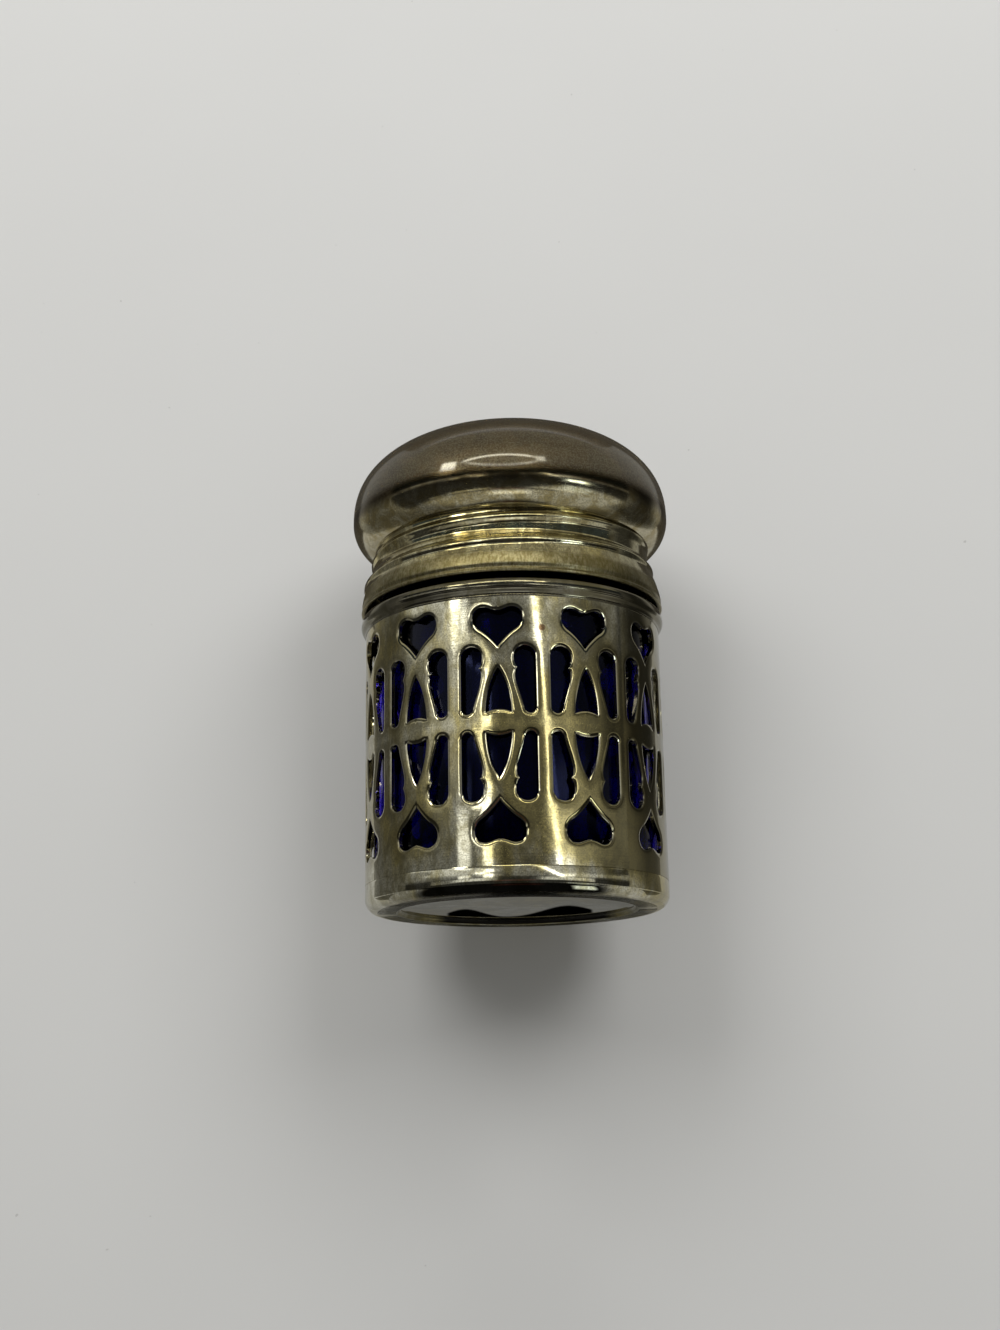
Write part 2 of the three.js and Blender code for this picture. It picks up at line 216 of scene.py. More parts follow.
def grid_faces(rows, columns):
    """Faces of corners that are stored row by row."""
    starts = [row * columns + n for row in range(rows - 1) for n in range(columns - 1)]
    return [(n, n + 1, n + 1 + columns, n + columns) for n in starts]


def swept(section_at, steps=TURN_STEPS):
    """Turns a closed section round the axis. The section runs up outside and down inside."""
    sections = np.array([section_at(2 * math.pi * step / steps) for step in range(steps)])
    return welded(spun(sections), ring_faces(steps, sections.shape[1]))


def revolved(section, steps=TURN_STEPS):
    return swept(lambda angle: section, steps)


def arc(centre, across, start, end, steps, up=None):
    """Points on a circle's arc, or on an ellipse's where it has a reach up of its own."""
    up = across if up is None else up
    turns = np.radians(np.linspace(start, end, steps + 1))
    return [(centre[0] + across * math.cos(t), centre[1] + up * math.sin(t)) for t in turns]


def circle(centre, radius, steps):
    return arc(centre, radius, 0, 360, steps)[:-1]


def bezier(*controls, step=OUTLINE_STEP):
    """Points on a Bezier curve of any degree, without its first point."""
    controls = np.array(controls, float)
    length = np.linalg.norm(np.diff(controls, axis=0), axis=1).sum()
    count = max(2, math.ceil(length / step))
    shares = np.linspace(0, 1, count + 1)[1:]
    points = np.repeat(controls[:, None, :], count, axis=1)
    while len(points) > 1:
        points = points[:-1] * (1 - shares)[None, :, None] + points[1:] * shares[None, :, None]
    return [tuple(p) for p in points[0]]


def triangulated(points, edges, on_metal):
    """Flat triangles that face up and keep the edges, wherever their middles are on metal."""
    flat, _, triangles, *_ = delaunay_2d_cdt([Vector(p) for p in points], edges, [], 0, 1e-5)
    flat = np.array([tuple(v) for v in flat])
    triangles = np.array([tuple(t) for t in triangles])
    triangles = triangles[on_metal(flat[triangles].mean(axis=1))]
    a, b, c = (flat[triangles[:, n]] for n in range(3))
    downward = (b[:, 0] - a[:, 0]) * (c[:, 1] - a[:, 1]) < (b[:, 1] - a[:, 1]) * (c[:, 0] - a[:, 0])
    triangles[downward] = triangles[downward][:, ::-1]
    return flat, triangles


# Outlines of the openings, from the motif's axis and the middle of the band

MOTIF_PITCH = 2 * math.pi * SLEEVE_RADIUS / MOTIFS
BAND_EDGE = BAND_HEIGHT / 2
SLOT_OUTER = (MOTIF_PITCH - POST_WIDTH) / 2


def slot_outline():
    """Straight outer edge, round head, small cusp and an inner edge that leans out to the foot."""
    top = BAND_EDGE + SLOT_LENGTH
    inner = SLOT_OUTER - 2 * SLOT_HEAD
    cusp = (inner + CUSP_REACH, top - CUSP_DROP)
    waist = (inner + WAIST_REACH, cusp[1] - WAIST_DROP)
    heel = (SLOT_OUTER - 2 * SLOT_FOOT, BAND_EDGE + SLOT_FOOT)
    points = [(SLOT_OUTER, heel[1])]
    points += bezier(points[0], (SLOT_OUTER, top - SLOT_HEAD))
    points += arc((SLOT_OUTER - SLOT_HEAD, top - SLOT_HEAD), SLOT_HEAD, 0, 180, 20)[1:]
    points += bezier(points[-1], (inner, cusp[1] + 0.48), cusp)
    points += bezier(cusp, (waist[0] + 0.04, cusp[1] - 0.14), waist)
    points += bezier(waist, (waist[0] - 0.04, waist[1] - 0.75), (heel[0] - 0.35, heel[1] + 1.35), heel)
    points += arc((SLOT_OUTER - SLOT_FOOT, heel[1]), SLOT_FOOT, 180, 360, 12)[1:-1]
    return points


def lancet_side():
    """Right half, from the medallion's edge on the axis out to the corner and up to the tip."""
    foot, tip = BAND_EDGE + LANCET_FOOT, BAND_EDGE + LANCET_TIP
    points = [(0.0, foot + MEDALLION_RISE)]
    points += bezier(points[0], (0.7, foot + MEDALLION_RISE), (LANCET_HALF_WIDTH, foot))
    points += bezier(points[-1], (LANCET_HALF_WIDTH - 0.05, foot + 1.93), (0.66, tip - 0.83), (0.0, tip))
    return points


def heart_side():
    """Right half, from the point on the axis round the lobe to the notch."""
    point = BAND_EDGE + HEART_POINT
    top = point + HEART_HEIGHT
    flank = (1.75, point + 1.76)
    widest = (HEART_HALF_WIDTH, point + 3.06)
    lobe = (1.45, top)
    notch = (0.0, top - HEART_NOTCH)
    points = [(0.0, point)]
    points += bezier(points[0], (0.86, point + 1.11), flank)
    points += bezier(flank, (HEART_HALF_WIDTH, point + 2.24), widest)
    points += bezier(widest, (HEART_HALF_WIDTH, top - 0.37), (2.05, top), lobe)
    points += bezier(lobe, (1.0, top), (0.55, notch[1]), notch)
    return points


# Each outline, and whether it closes by itself
OPENINGS = ((slot_outline(), True), (lancet_side(), False), (heart_side(), False))


def opening_segments():
    segments = []
    for outline, closed in OPENINGS:
        ends = outline[1:] + outline[:1] if closed else outline[1:]
        segments += list(zip(outline, ends))
    return np.array(segments)


def inside(points, polygon):
    """Which points lie inside a closed polygon."""
    polygon = np.array(polygon)
    result = np.zeros(len(points), bool)
    for start, end in zip(polygon, np.roll(polygon, -1, axis=0)):
        crosses = (start[1] > points[:, 1]) != (end[1] > points[:, 1])
        rise = np.where(end[1] == start[1], 1.0, end[1] - start[1])
        at = start[0] + (points[:, 1] - start[1]) * (end[0] - start[0]) / rise
        result ^= crosses & (points[:, 0] < at)
    return result


def outside_openings(points):
    return ~np.any([inside(points, outline) for outline, _ in OPENINGS], axis=0)


def opening_distance(points):
    """How far flat points lie from the nearest opening's edge."""
    segments = opening_segments()
    starts, along = segments[:, 0], segments[:, 1] - segments[:, 0]
    gap = points[:, None] - starts[None]
    share = np.clip((gap * along).sum(-1) / (along * along).sum(-1), 0, 1)
    return np.linalg.norm(gap - share[..., None] * along, axis=-1).min(axis=1)


def outward_ring(outline, closed, distance):
    """Copies of an outline's points, moved off to the metal on its right."""
    points = np.array(outline)
    if closed:
        along = np.roll(points, -1, axis=0) - np.roll(points, 1, axis=0)
    else:
        along = np.gradient(points, axis=0)
    along /= np.linalg.norm(along, axis=1)[:, None]
    return points + distance * np.stack((along[:, 1], -along[:, 0]), axis=1)


def loose_points(rings, spacing):
    """Rings of points round the openings and a grid, without those too near an edge."""
    half, margin = MOTIF_PITCH / 2, 0.05
    places = [outward_ring(*opening, distance) for distance in rings for opening in OPENINGS]
    rooms = [np.full(len(outline), distance) for distance in rings for outline, _ in OPENINGS]
    grid = np.array([
        (x + (row % 2) * spacing / 2, y)
        for row, y in enumerate(np.arange(spacing, PATCH_TOP, spacing * 0.87))
        for x in np.arange(spacing, half, spacing)
    ])
    places = np.concatenate(places + [grid])
    rooms = np.concatenate(rooms + [np.full(len(grid), max(rings, default=0.0) + spacing / 2)])
    kept = (places > margin).all(axis=1)
    kept &= (places < (half - margin, PATCH_TOP - margin)).all(axis=1)
    kept &= opening_distance(places) > rooms * 0.94
    kept &= outside_openings(places)
    return [tuple(p) for p in places[kept]]


def motif_patch(rings, spacing):
    """Triangles of the upper right quarter of a motif."""
    half = MOTIF_PITCH / 2
    points = loose_points(rings, spacing)
    points += [(0.0, y) for y in (0.0, 0.5, 1.0, 5.9, 6.4, 6.9, 7.4, 12.1)]
    points += [(half, y) for y in np.arange(0.0, PATCH_TOP + 0.01, PATCH_TOP / 25)]
    points += [(x, y) for y in (0.0, PATCH_TOP) for x in np.linspace(0, half, MARGIN_COLUMNS)[:-1]]
    edges = []
    for outline, closed in OPENINGS:
        first = len(points)
        points += outline
        edges += [(n, n + 1) for n in range(first, len(points) - 1)]
        if closed:
            edges.append((len(points) - 1, first))
    return triangulated(points, edges, outside_openings)


# Pieces of the sleeve


def wrapped(flat, radius):
    """Lays flat points, measured round the wall from a motif's axis, on the sleeve."""
    angle = flat[:, 0] / SLEEVE_RADIUS
    return np.stack((radius * np.sin(angle), -radius * np.cos(angle), PATTERN_MIDDLE + flat[:, 1]), axis=1)


def rolled_radius(distance):
    """The sheet turns in towards each punched edge."""
    share = np.clip(1 - distance / ROLL_WIDTH, 0, 1)
    return SLEEVE_RADIUS - ROLL_DEPTH * share ** 2


def pierced_motif():
    """Corners and faces of one motif, mirrored from its upper right quarter."""
    motif = Patchwork()
    inner = SLEEVE_RADIUS - SHEET
    outer_flat, outer_triangles = motif_patch(EDGE_RINGS, OUTER_SPACING)
    inner_flat, inner_triangles = motif_patch((), INNER_SPACING)
    outer_radius = rolled_radius(opening_distance(outer_flat))
    columns = np.linspace(0, MOTIF_PITCH / 2, MARGIN_COLUMNS)
    quads = grid_faces(MARGIN_ROWS, MARGIN_COLUMNS)
    for up, limit in ((1, WALL_TOP - PATTERN_MIDDLE), (-1, PATTERN_MIDDLE - WALL_FOOT)):
        margin = np.array([(x, y) for y in np.linspace(PATCH_TOP, limit, MARGIN_ROWS) for x in columns])
        patches = [(outer_flat, outer_radius, outer_triangles, 1), (inner_flat, inner, inner_triangles, -1)]
        patches += [(margin, SLEEVE_RADIUS, quads, 1), (margin, inner, quads, -1)]
        strips = [([(x, limit) for x in columns], SLEEVE_RADIUS)]
        for outline, closed in OPENINGS:
            strips.append((outline + outline[:1] if closed else outline, rolled_radius(0.0)))
        for line, radius in strips:
            radii = np.repeat((radius, inner), len(line))
            patches.append((np.array(line + line), radii, grid_faces(2, len(line)), 1))
        for across in (1, -1):
            for flat, radius, polygons, side in patches:
                motif.add(wrapped(flat * (across, up), radius), polygons, across * up * side < 0)
    return np.array(motif.points), motif.faces


def pierced_wall(material):
    """The motif, repeated round the axis. Each corner keeps its distance to an opening for the tarnish."""
    motif, faces = pierced_motif()
    points, polygons = [], []
    for turn in range(MOTIFS):
        spin = np.array(Matrix.Rotation(2 * math.pi * turn / MOTIFS, 3, "Z"))
        points.append(motif @ spin.T)
        polygons += [[turn * len(motif) + n for n in face] for face in faces]
    points, polygons = welded(np.concatenate(points), polygons)
    wall = to_object("pierced_silver_wall", points, polygons, material)
    around = np.arctan2(points[:, 0], -points[:, 1]) * SLEEVE_RADIUS
    across = np.abs((around + MOTIF_PITCH / 2) % MOTIF_PITCH - MOTIF_PITCH / 2)
    flat = np.stack((across, np.abs(points[:, 2] - PATTERN_MIDDLE)), axis=1)
    distances = np.concatenate([opening_distance(part) for part in np.array_split(flat, 40)])
    layer = wall.data.attributes.new("edge_distance", "FLOAT", "POINT")
    layer.data.foreach_set("value", distances)
    return wall


def pressed_base(material):
    """A shallow pan with a rounded corner, a flat standing ring and a slightly recessed middle."""
    inner = SLEEVE_RADIUS - SHEET
    ring_inner, ring_outer = STANDING_RING
    section = [(0.0, RECESS), (5.0, RECESS - 0.002), (9.0, RECESS - 0.006), (11.6, RECESS - 0.01)]
    section += bezier((12.2, 0.435), (12.55, 0.43), (12.5, 0.02), (ring_inner, 0.0), step=0.08)
    section += [(ring_outer, 0.0)]
    section += arc((SLEEVE_RADIUS - BASE_CORNER, BASE_CORNER), BASE_CORNER, -90, 0, 12)
    section += [(SLEEVE_RADIUS, BASE_TOP - 0.16), (SLEEVE_RADIUS - 0.035, BASE_TOP), (inner, BASE_TOP)]
    section += arc((inner - 0.8, BASE_CORNER), 0.8, 0, -90, 6)
    section += [(12.9, SHEET), (12.2, 1.05), (9.0, 1.1), (0.0, 1.15)]
    return to_object("pressed_silver_base", *revolved(section), material)


def rim_moulding(material):
    """A thin solder line, a hollow curve out to the bead, and a round top that turns in under the cap."""
    wall, foot, inner = SLEEVE_RADIUS, WALL_TOP, SLEEVE_RADIUS - SHEET
    crest = (RIM_RADIUS, RIM_TOP - 1.0)
    solder = ((wall + 0.09, foot + 0.02), (wall + 0.09, foot + 0.2), (wall + 0.03, foot + 0.24))
    cove = ((wall + 0.05, foot + 0.5), (crest[0] - 0.1, foot + 0.6), (crest[0] - 0.07, crest[1] - 0.22))
    top = ((RIM_RADIUS, RIM_TOP - 0.35), (RIM_RADIUS - 0.2, RIM_TOP), (inner + 0.15, RIM_TOP))
    section = [(wall, foot)]
    section += bezier(section[-1], *solder, step=0.04)
    section += bezier(section[-1], *cove, step=0.06)
    section += bezier(section[-1], (crest[0], crest[1] - 0.12), crest, step=0.04)
    section += bezier(crest, *top, step=0.06)
    section += [(inner, RIM_TOP - 0.06), (inner, WALL_TOP)]
    return to_object("silver_rim_moulding", *revolved(section), material)


# Pieces of the cap, and the glass and seal inside it


def thread_share(crest_height, lowest, highest):
    """How much of its section a thread has where its crest is at this height."""
    run_out = THREAD_PITCH * RUN_OUT_DEGREES / 360
    return smooth(min(crest_height - lowest, highest - crest_height), 0.0, run_out)


def ridge(height, angle, lowest, highest, width):
    """Height of a right-handed thread's round ridge over the surface, from 0 to 1."""
    total = 0.0
    for turn in (-1, 0, 1, 2):
        crest = FRONT_CREST + THREAD_PITCH * (angle / (2 * math.pi) + turn)
        offset = abs(height - crest) / (width / 2)
        if offset < 1:
            total += thread_share(crest, lowest, highest) * (0.5 * (1 + math.cos(math.pi * offset))) ** 1.25
    return min(total, 1.0)


def collar_radius(height):
    share = min(max((height - SKIRT_EDGE) / FLARE_HEIGHT, 0.0), 1.0)
    return COLLAR_RADIUS + (SKIRT_RADIUS - COLLAR_RADIUS) * math.cos(share * math.pi / 2)


def threaded_collar(material):
    """A beaded edge, a flared skirt and a rolled thread, with a flange turned in at the top."""
    edge, outer, lip = SKIRT_EDGE, SKIRT_RADIUS, SKIRT_RADIUS - COLLAR_SHEET
    levels = np.linspace(edge + SKIRT_BEAD_TOP, COLLAR_TOP, 65)
    skirt = (collar_radius(levels[0]), levels[0])
    flange, flange_foot = COLLAR_RADIUS - FLANGE_WIDTH, COLLAR_TOP - COLLAR_SHEET
    bead_end = ((outer, edge + 0.34), (outer - 0.2, edge + 0.36), (outer - 0.17, edge + 0.52))
    bead_run = ((outer - 0.15, edge + 0.66), (skirt[0], edge + 0.74), skirt)

    def radius_at(height, angle):
        rise = ridge(height, angle, edge + RIDGE_FREE_SKIRT, COLLAR_TOP, RIDGE_WIDTH)
        return collar_radius(height) + RIDGE_HEIGHT * rise

    def section(angle):
        points = [(lip, edge + 0.1), (lip + 0.1, edge)]
        points += arc((outer - SKIRT_BEAD, edge + SKIRT_BEAD), SKIRT_BEAD, -90, 0, 6)
        points += bezier(points[-1], *bead_end, step=0.05)
        points += bezier(points[-1], *bead_run, step=0.07)
        points += [(radius_at(height, angle), height) for height in levels]
        points += [(flange, COLLAR_TOP), (flange, flange_foot), (COLLAR_RADIUS - COLLAR_SHEET, flange_foot)]
        points += [(radius_at(height, angle) - COLLAR_SHEET, height) for height in levels[-9::-3]]
        return points

    return to_object("threaded_silver_collar", *swept(section, COLLAR_STEPS), material)


def dome_outline(inset, tuck_steps, crown_steps):
    """An ellipse curls out from the collar, then a squarish crown closes in to the middle's disc."""
    middle = DOME_RADIUS - DOME_TUCK
    cosine = (COLLAR_RADIUS - middle) / DOME_TUCK
    drop = (DOME_WIDEST - COLLAR_TOP) / math.sqrt(1 - cosine ** 2)
    start = -math.degrees(math.acos(cosine))
    points = arc((middle, DOME_WIDEST), DOME_TUCK - inset, start, 0, tuck_steps, drop - inset)
    power = 2 / DOME_SQUARENESS
    for angle in np.linspace(0, math.pi / 2, crown_steps + 1)[1:]:
        across = (DOME_RADIUS - inset) * max(math.cos(angle), 0.0) ** power
        if across > CROWN_REACH + 0.05:
            up = (DOME_TOP - DOME_WIDEST - inset) * math.sin(angle) ** power
            points.append((across, DOME_WIDEST + up))
    return points + [(CROWN_REACH, float(crown_height(CROWN_REACH, inset)))]


def crown_height(radius, inset):
    share = np.clip(np.asarray(radius, float) / (DOME_RADIUS - inset), 0, 1)
    rise = (1 - share ** DOME_SQUARENESS) ** (1 / DOME_SQUARENESS)
    return DOME_WIDEST + (DOME_TOP - DOME_WIDEST - inset) * rise


HOLE_CENTRES = [(0.0, 0.0)] + circle((0.0, 0.0), HOLE_RING, HOLE_COUNT)


def centre_distance(flat):
    """How far flat points lie from the nearest sprinkle hole's centre."""
    return np.min([np.hypot(flat[:, 0] - x, flat[:, 1] - y) for x, y in HOLE_CENTRES], axis=0)


def crown_disc():
    """Flat triangles of the crown's middle, with the sprinkle holes left open."""
    points = arc((0.0, 0.0), CROWN_REACH, -90, 270, TURN_STEPS)[:-1]
    edges = [(n, (n + 1) % TURN_STEPS) for n in range(TURN_STEPS)]
    for centre in HOLE_CENTRES:
        first = len(points)
        edges += [(first + n, first + (n + 1) % HOLE_STEPS) for n in range(HOLE_STEPS)]
        for widening in HOLE_RINGS:
            points += circle(centre, HOLE_RADIUS + widening, HOLE_STEPS)
    places = np.arange(-CROWN_REACH, CROWN_REACH, CROWN_SPACING)
    grid = np.array([(x, y) for x in places for y in places])
    clear = (centre_distance(grid) > HOLE_RADIUS + 0.6) & (np.hypot(*grid.T) < CROWN_REACH - 0.3)
    points += [tuple(p) for p in grid[clear]]
    return triangulated(points, edges, lambda middles: centre_distance(middles) > HOLE_RADIUS * 0.98)


def lifted(flat, inset, lowered=0.0):
    """Puts flat points on the crown."""
    return np.column_stack((flat, crown_height(np.hypot(*flat.T), inset) - lowered))


def perforated_dome(material):
    """The crown's middle is a lifted disc with holes, and the rest is turned round the axis."""
    shell = [(COLLAR_RADIUS - DOME_SEAT, COLLAR_TOP)] + dome_outline(0, 18, 60)
    section = shell + dome_outline(SHEET, 8, 30)[::-1]
    dome = Patchwork()
    dome.add(spun(np.array([section] * TURN_STEPS)), ring_faces(TURN_STEPS, len(section), len(shell) - 1))
    flat, triangles = crown_disc()
    roll = HOLE_ROLL * np.clip(1 - (centre_distance(flat) - HOLE_RADIUS) / 0.3, 0, 1) ** 2
    dome.add(lifted(flat, 0, roll), triangles)
    dome.add(lifted(flat, SHEET), triangles, reverse=True)
    for centre in HOLE_CENTRES:
        rim = np.array(arc(centre, HOLE_RADIUS, 0, 360, HOLE_STEPS))
        wall = np.concatenate((lifted(rim, 0, HOLE_ROLL), lifted(rim, SHEET)))
        dome.add(wall, grid_faces(2, HOLE_STEPS + 1))
    return to_object("perforated_silver_dome", *welded(dome.points, dome.faces), material)


def glass_liner(material):
    """A thick glass with a hollow foot, a rounded shoulder and one turn of thread on its neck."""
    chamber = LINER_RADIUS - GLASS_WALL
    mouth = NECK_RADIUS - GLASS_WALL
    shoulder = RIM_TOP - SHOULDER_BELOW_RIM
    floor = LINER_FOOT + GLASS_FLOOR
    heel = (LINER_RADIUS - GLASS_HEEL, LINER_FOOT + GLASS_HEEL)
    shoulder_foot = (NECK_RADIUS, shoulder - SHOULDER_DROP)
    lip = LINER_TOP - LIP_ROUNDING
    thread_crest = COLLAR_RADIUS - COLLAR_SHEET + RIDGE_HEIGHT - THREAD_CLEARANCE - NECK_RADIUS
    thread_top = lip - RIDGE_WIDTH / 2
    neck_levels = np.linspace(shoulder + 0.05, lip, 44)

    def radius_at(height, angle):
        rise = ridge(height, angle, thread_top - THREAD_PITCH, thread_top, RIDGE_WIDTH - 0.2)
        return NECK_RADIUS + thread_crest * rise

    def section(angle):
        points = arc((0.0, LINER_FOOT), PUNT_RADIUS, 90, 0, 10, 0.8)
        points += arc(heel, GLASS_HEEL, -90, 0, 10)
        points += arc(shoulder_foot, LINER_RADIUS - NECK_RADIUS, 0, 80, 8, SHOULDER_DROP)
        points += [(radius_at(height, angle), height) for height in neck_levels]
        points += arc((NECK_RADIUS - LIP_ROUNDING, lip), LIP_ROUNDING, 20, 90, 5)
        points += arc((mouth + LIP_ROUNDING, lip), LIP_ROUNDING, 90, 180, 5)
        points += bezier((mouth, LINER_TOP - 2), (mouth, shoulder - 0.3), (chamber, shoulder - 0.9),
                         (chamber, shoulder - 2.6), step=0.5)
        points += arc((chamber - CHAMBER_HEEL, floor + CHAMBER_HEEL), CHAMBER_HEEL, 0, -90, 8)
        points += arc((0.0, floor), PUNT_RADIUS, 0, 90, 8, 0.5)
        return points

    return to_object("cobalt_glass_liner", *swept(section, GLASS_STEPS), material, 60.0)


def seal_ring(material):
    inner, outer, foot, top = NECK_RADIUS - SEAL_WIDTH, NECK_RADIUS, SEAL_FOOT, SEAL_TOP
    bevel = SEAL_BEVEL
    section = [(inner + bevel, foot), (outer - bevel, foot), (outer, foot + bevel), (outer, top - bevel)]
    section += [(outer - bevel, top), (inner + bevel, top), (inner, top - bevel), (inner, foot + bevel)]
    return to_object("pressed_card_seal", *revolved(section, SEAL_STEPS), material)


# Node materials


class Nodes:
    """Short ways to add and join the shader nodes of a material or world."""

    def __init__(self, name, owners="materials"):
        self.owner = getattr(bpy.data, owners).new(name)
        self.owner.use_nodes = True
        self.tree = self.owner.node_tree
        self.tree.nodes.clear()

    def add(self, kind, inputs=None, **settings):
        node = self.tree.nodes.new("ShaderNode" + kind)
        for key, value in settings.items():
            setattr(node, key, value)
        for key, value in (inputs or {}).items():
            socket = node.inputs[key]
            if isinstance(value, bpy.types.NodeSocket):
                self.tree.links.new(value, socket)
            elif socket.type == "RGBA":
                socket.default_value = (*value, 1.0)
            else:
                socket.default_value = value
        return node

    def surface(self, socket, output="OutputMaterial"):
        self.add(output, {"Surface": socket})
        return self.owner

    def place(self, stretch=(1.0, 1.0, 1.0)):
        """The place on the object in millimetres, stretched along each axis."""
        coordinate = self.add("TexCoord").outputs["Object"]
        scaled = self.add("Mapping", {"Vector": coordinate, "Scale": [s / MM for s in stretch]})
        return scaled.outputs["Vector"]

    def noise(self, place, scale, detail=3.0, roughness=0.55, distortion=0.0):
        inputs = {"Vector": place, "Scale": scale, "Detail": detail}
        inputs.update({"Roughness": roughness, "Distortion": distortion})
        return self.add("TexNoise", inputs).outputs["Fac"]

    def ranged(self, value, low, high, to_low=0.0, to_high=1.0):
        """A soft step from one value to another where the input rises from low to high."""
        inputs = {"Value": value, "From Min": low, "From Max": high, "To Min": to_low, "To Max": to_high}
        return self.add("MapRange", inputs, interpolation_type="SMOOTHSTEP").outputs["Result"]

    def math(self, operation, first, second=0.0):
        return self.add("Math", {0: first, 1: second}, operation=operation).outputs[0]

    def plus(self, first, second):
        return self.math("ADD", first, second)

    def times(self, first, second):
        return self.math("MULTIPLY", first, second)

    def length(self, vector, from_point=(0.0, 0.0, 0.0)):
        return self.add("VectorMath", {0: vector, 1: from_point}, operation="DISTANCE").outputs["Value"]

    def mix(self, share, first, second):
        return self.add("Mix", {0: share, 6: first, 7: second}, data_type="RGBA").outputs[2]

    def bump(self, height, distance, after=None):
        inputs = {"Height": height, "Distance": distance * MM}
        if after is not None:
            inputs["Normal"] = after
        return self.add("Bump", inputs).outputs["Normal"]


class Silver(Nodes):
    """Old silver plate with yellow and dark tarnish. A material lays more layers on it, one by one."""

    def __init__(self, name, colours, gold_from, dark_from, gloss, gold_near=None, cloud_stretch=0.5):
        super().__init__(name)
        clean, gold, dark = colours
        self.here = self.place()
        self.x, self.y, self.z = self.add("SeparateXYZ", {"Vector": self.here}).outputs
        self.patches = self.noise(self.here, 0.1, 2.0, 0.5, 0.4)
        self.mottling = self.noise(self.place((1.0, 1.0, 0.45)), 0.75, 5.0, 0.62, 0.3)
        self.grain = self.noise(self.here, 6.0, 3.0, 0.6)
        self.lines = self.noise(self.place((0.3, 0.3, 8.0)), 1.0, 3.0, 0.6)
        self.stain = self.noise(self.here, 0.26, 4.0, 0.65, 0.8)
        self.clouds = self.noise(self.place((1.0, 1.0, cloud_stretch)), 0.5, 7.0, 0.7, 0.6)
        blotches = self.plus(self.times(self.patches, 0.62), self.times(self.mottling, 0.38))
        if gold_near is not None:
            nearness = self.ranged(self.length(self.here, gold_near), 3.0, 12.0, 0.22, 0.0)
            blotches = self.plus(blotches, nearness)
        gold_share = self.ranged(blotches, gold_from - 0.08, gold_from + 0.1, 0.0, 0.9)
        dark_mask = self.ranged(self.stain, dark_from - 0.1, dark_from + 0.16)
        self.colour = self.mix(gold_share, clean, gold)
        self.paint(self.times(dark_mask, 0.7), dark)
        self.paint(self.ranged(self.clouds, 0.47, 0.57, 0.0, 0.56), dark)
        polish = self.ranged(self.mottling, 0.35, 0.75, gloss, gloss + 0.04)
        self.rough = self.plus(polish, self.times(dark_mask, 0.04))
        self.normal = None

    def paint(self, share, colour):
        self.colour = self.mix(share, self.colour, colour)

    def roughen(self, more):
        self.rough = self.plus(self.rough, more)

    def shade_side(self, most):
        """Painted shade: the side towards +X is darker."""
        side = self.plus(self.x, self.times(self.math("SUBTRACT", self.patches, 0.5), 12.0))
        self.paint(self.ranged(side, 5.0, 14.5, 0.0, most), (0.16, 0.143, 0.085))

    def fine_tarnish(self):
        """Specks, grain and turning lines."""
        specks = self.noise(self.here, 2.4, 2.0, 0.5)
        self.paint(self.ranged(specks, 0.7, 0.77, 0.0, 0.45), (0.12, 0.10, 0.06))
        self.paint(self.ranged(self.grain, 0.42, 0.62, 0.0, 0.42), (0.16, 0.145, 0.09))
        self.paint(self.ranged(self.lines, 0.45, 0.8, 0.0, 0.2), (0.2, 0.185, 0.12))

    def uneven(self, dents=0.07, lines=0.0012, kinks=0.0, grain=0.0004, share=1.0):
        """Shallow dents, turning lines, kinks and grain of these depths, where the share says so."""
        dented = self.noise(self.place((1.0, 1.0, 0.7)), 0.17, 1.0, 0.3)
        bumps = ((dented, dents), (self.lines, lines), (self.mottling, kinks), (self.grain, grain))
        for height, depth in bumps:
            if depth:
                self.normal = self.bump(self.times(height, share), depth, after=self.normal)

    def finished(self, brushed=0.0, metallic=1.0, coat=None):
        around = self.add("Tangent", direction_type="RADIAL", axis="Z").outputs["Tangent"]
        inputs = {"Base Color": self.colour, "Metallic": metallic, "Roughness": self.rough,
                  "Normal": self.normal, "Anisotropic": brushed, "Anisotropic Rotation": 0.25,
                  "Tangent": around}
        inputs.update(coat or {})
        return self.surface(self.add("BsdfPrincipled", inputs).outputs["BSDF"])


PLATE = ((0.72, 0.7, 0.57), (0.54, 0.45, 0.16), (0.27, 0.24, 0.12))
DARK_PLATE = ((0.24, 0.225, 0.18), (0.2, 0.18, 0.11), (0.12, 0.11, 0.07))
GOLDEN_PLATE = ((0.78, 0.73, 0.5), (0.6, 0.5, 0.2), (0.27, 0.22, 0.1))
BROWN_TARNISH = ((0.056, 0.034, 0.011), (0.046, 0.026, 0.006), (0.03, 0.018, 0.006))
SPOT = (4.42, -15.37, 26.5)
GOLD_NEAR = (8.5, -13.5, 14.0)
UNDERSIDE_TOP = 0.9
RECESS_SHADE_RADIUS = 12.45


def sleeve_silver():
    """Dirty round each opening and rubbed bright at its edge, with one brown spot."""
    plate = Silver("sleeve_silver", PLATE, 0.49, 0.55, 0.055, gold_near=GOLD_NEAR)
    plate.shade_side(0.75)
    plate.fine_tarnish()
    distance = plate.add("Attribute", attribute_name="edge_distance").outputs["Fac"]
    uneven = plate.times(distance, plate.ranged(plate.mottling, 0.3, 0.7, 0.6, 1.3))
    plate.paint(plate.ranged(uneven, 0.3, 1.25, 0.5, 0.0), (0.2, 0.175, 0.09))
    plate.paint(plate.ranged(distance, 0.05, 0.2, 0.35, 0.0), (0.72, 0.70, 0.6))
    reach = plate.plus(plate.length(plate.here, SPOT), plate.times(plate.grain, 0.2))
    plate.paint(plate.ranged(reach, 0.35, 0.55, 0.9, 0.0), (0.13, 0.07, 0.03))
    plate.uneven(kinks=0.006)
    return plate.finished(brushed=0.2)


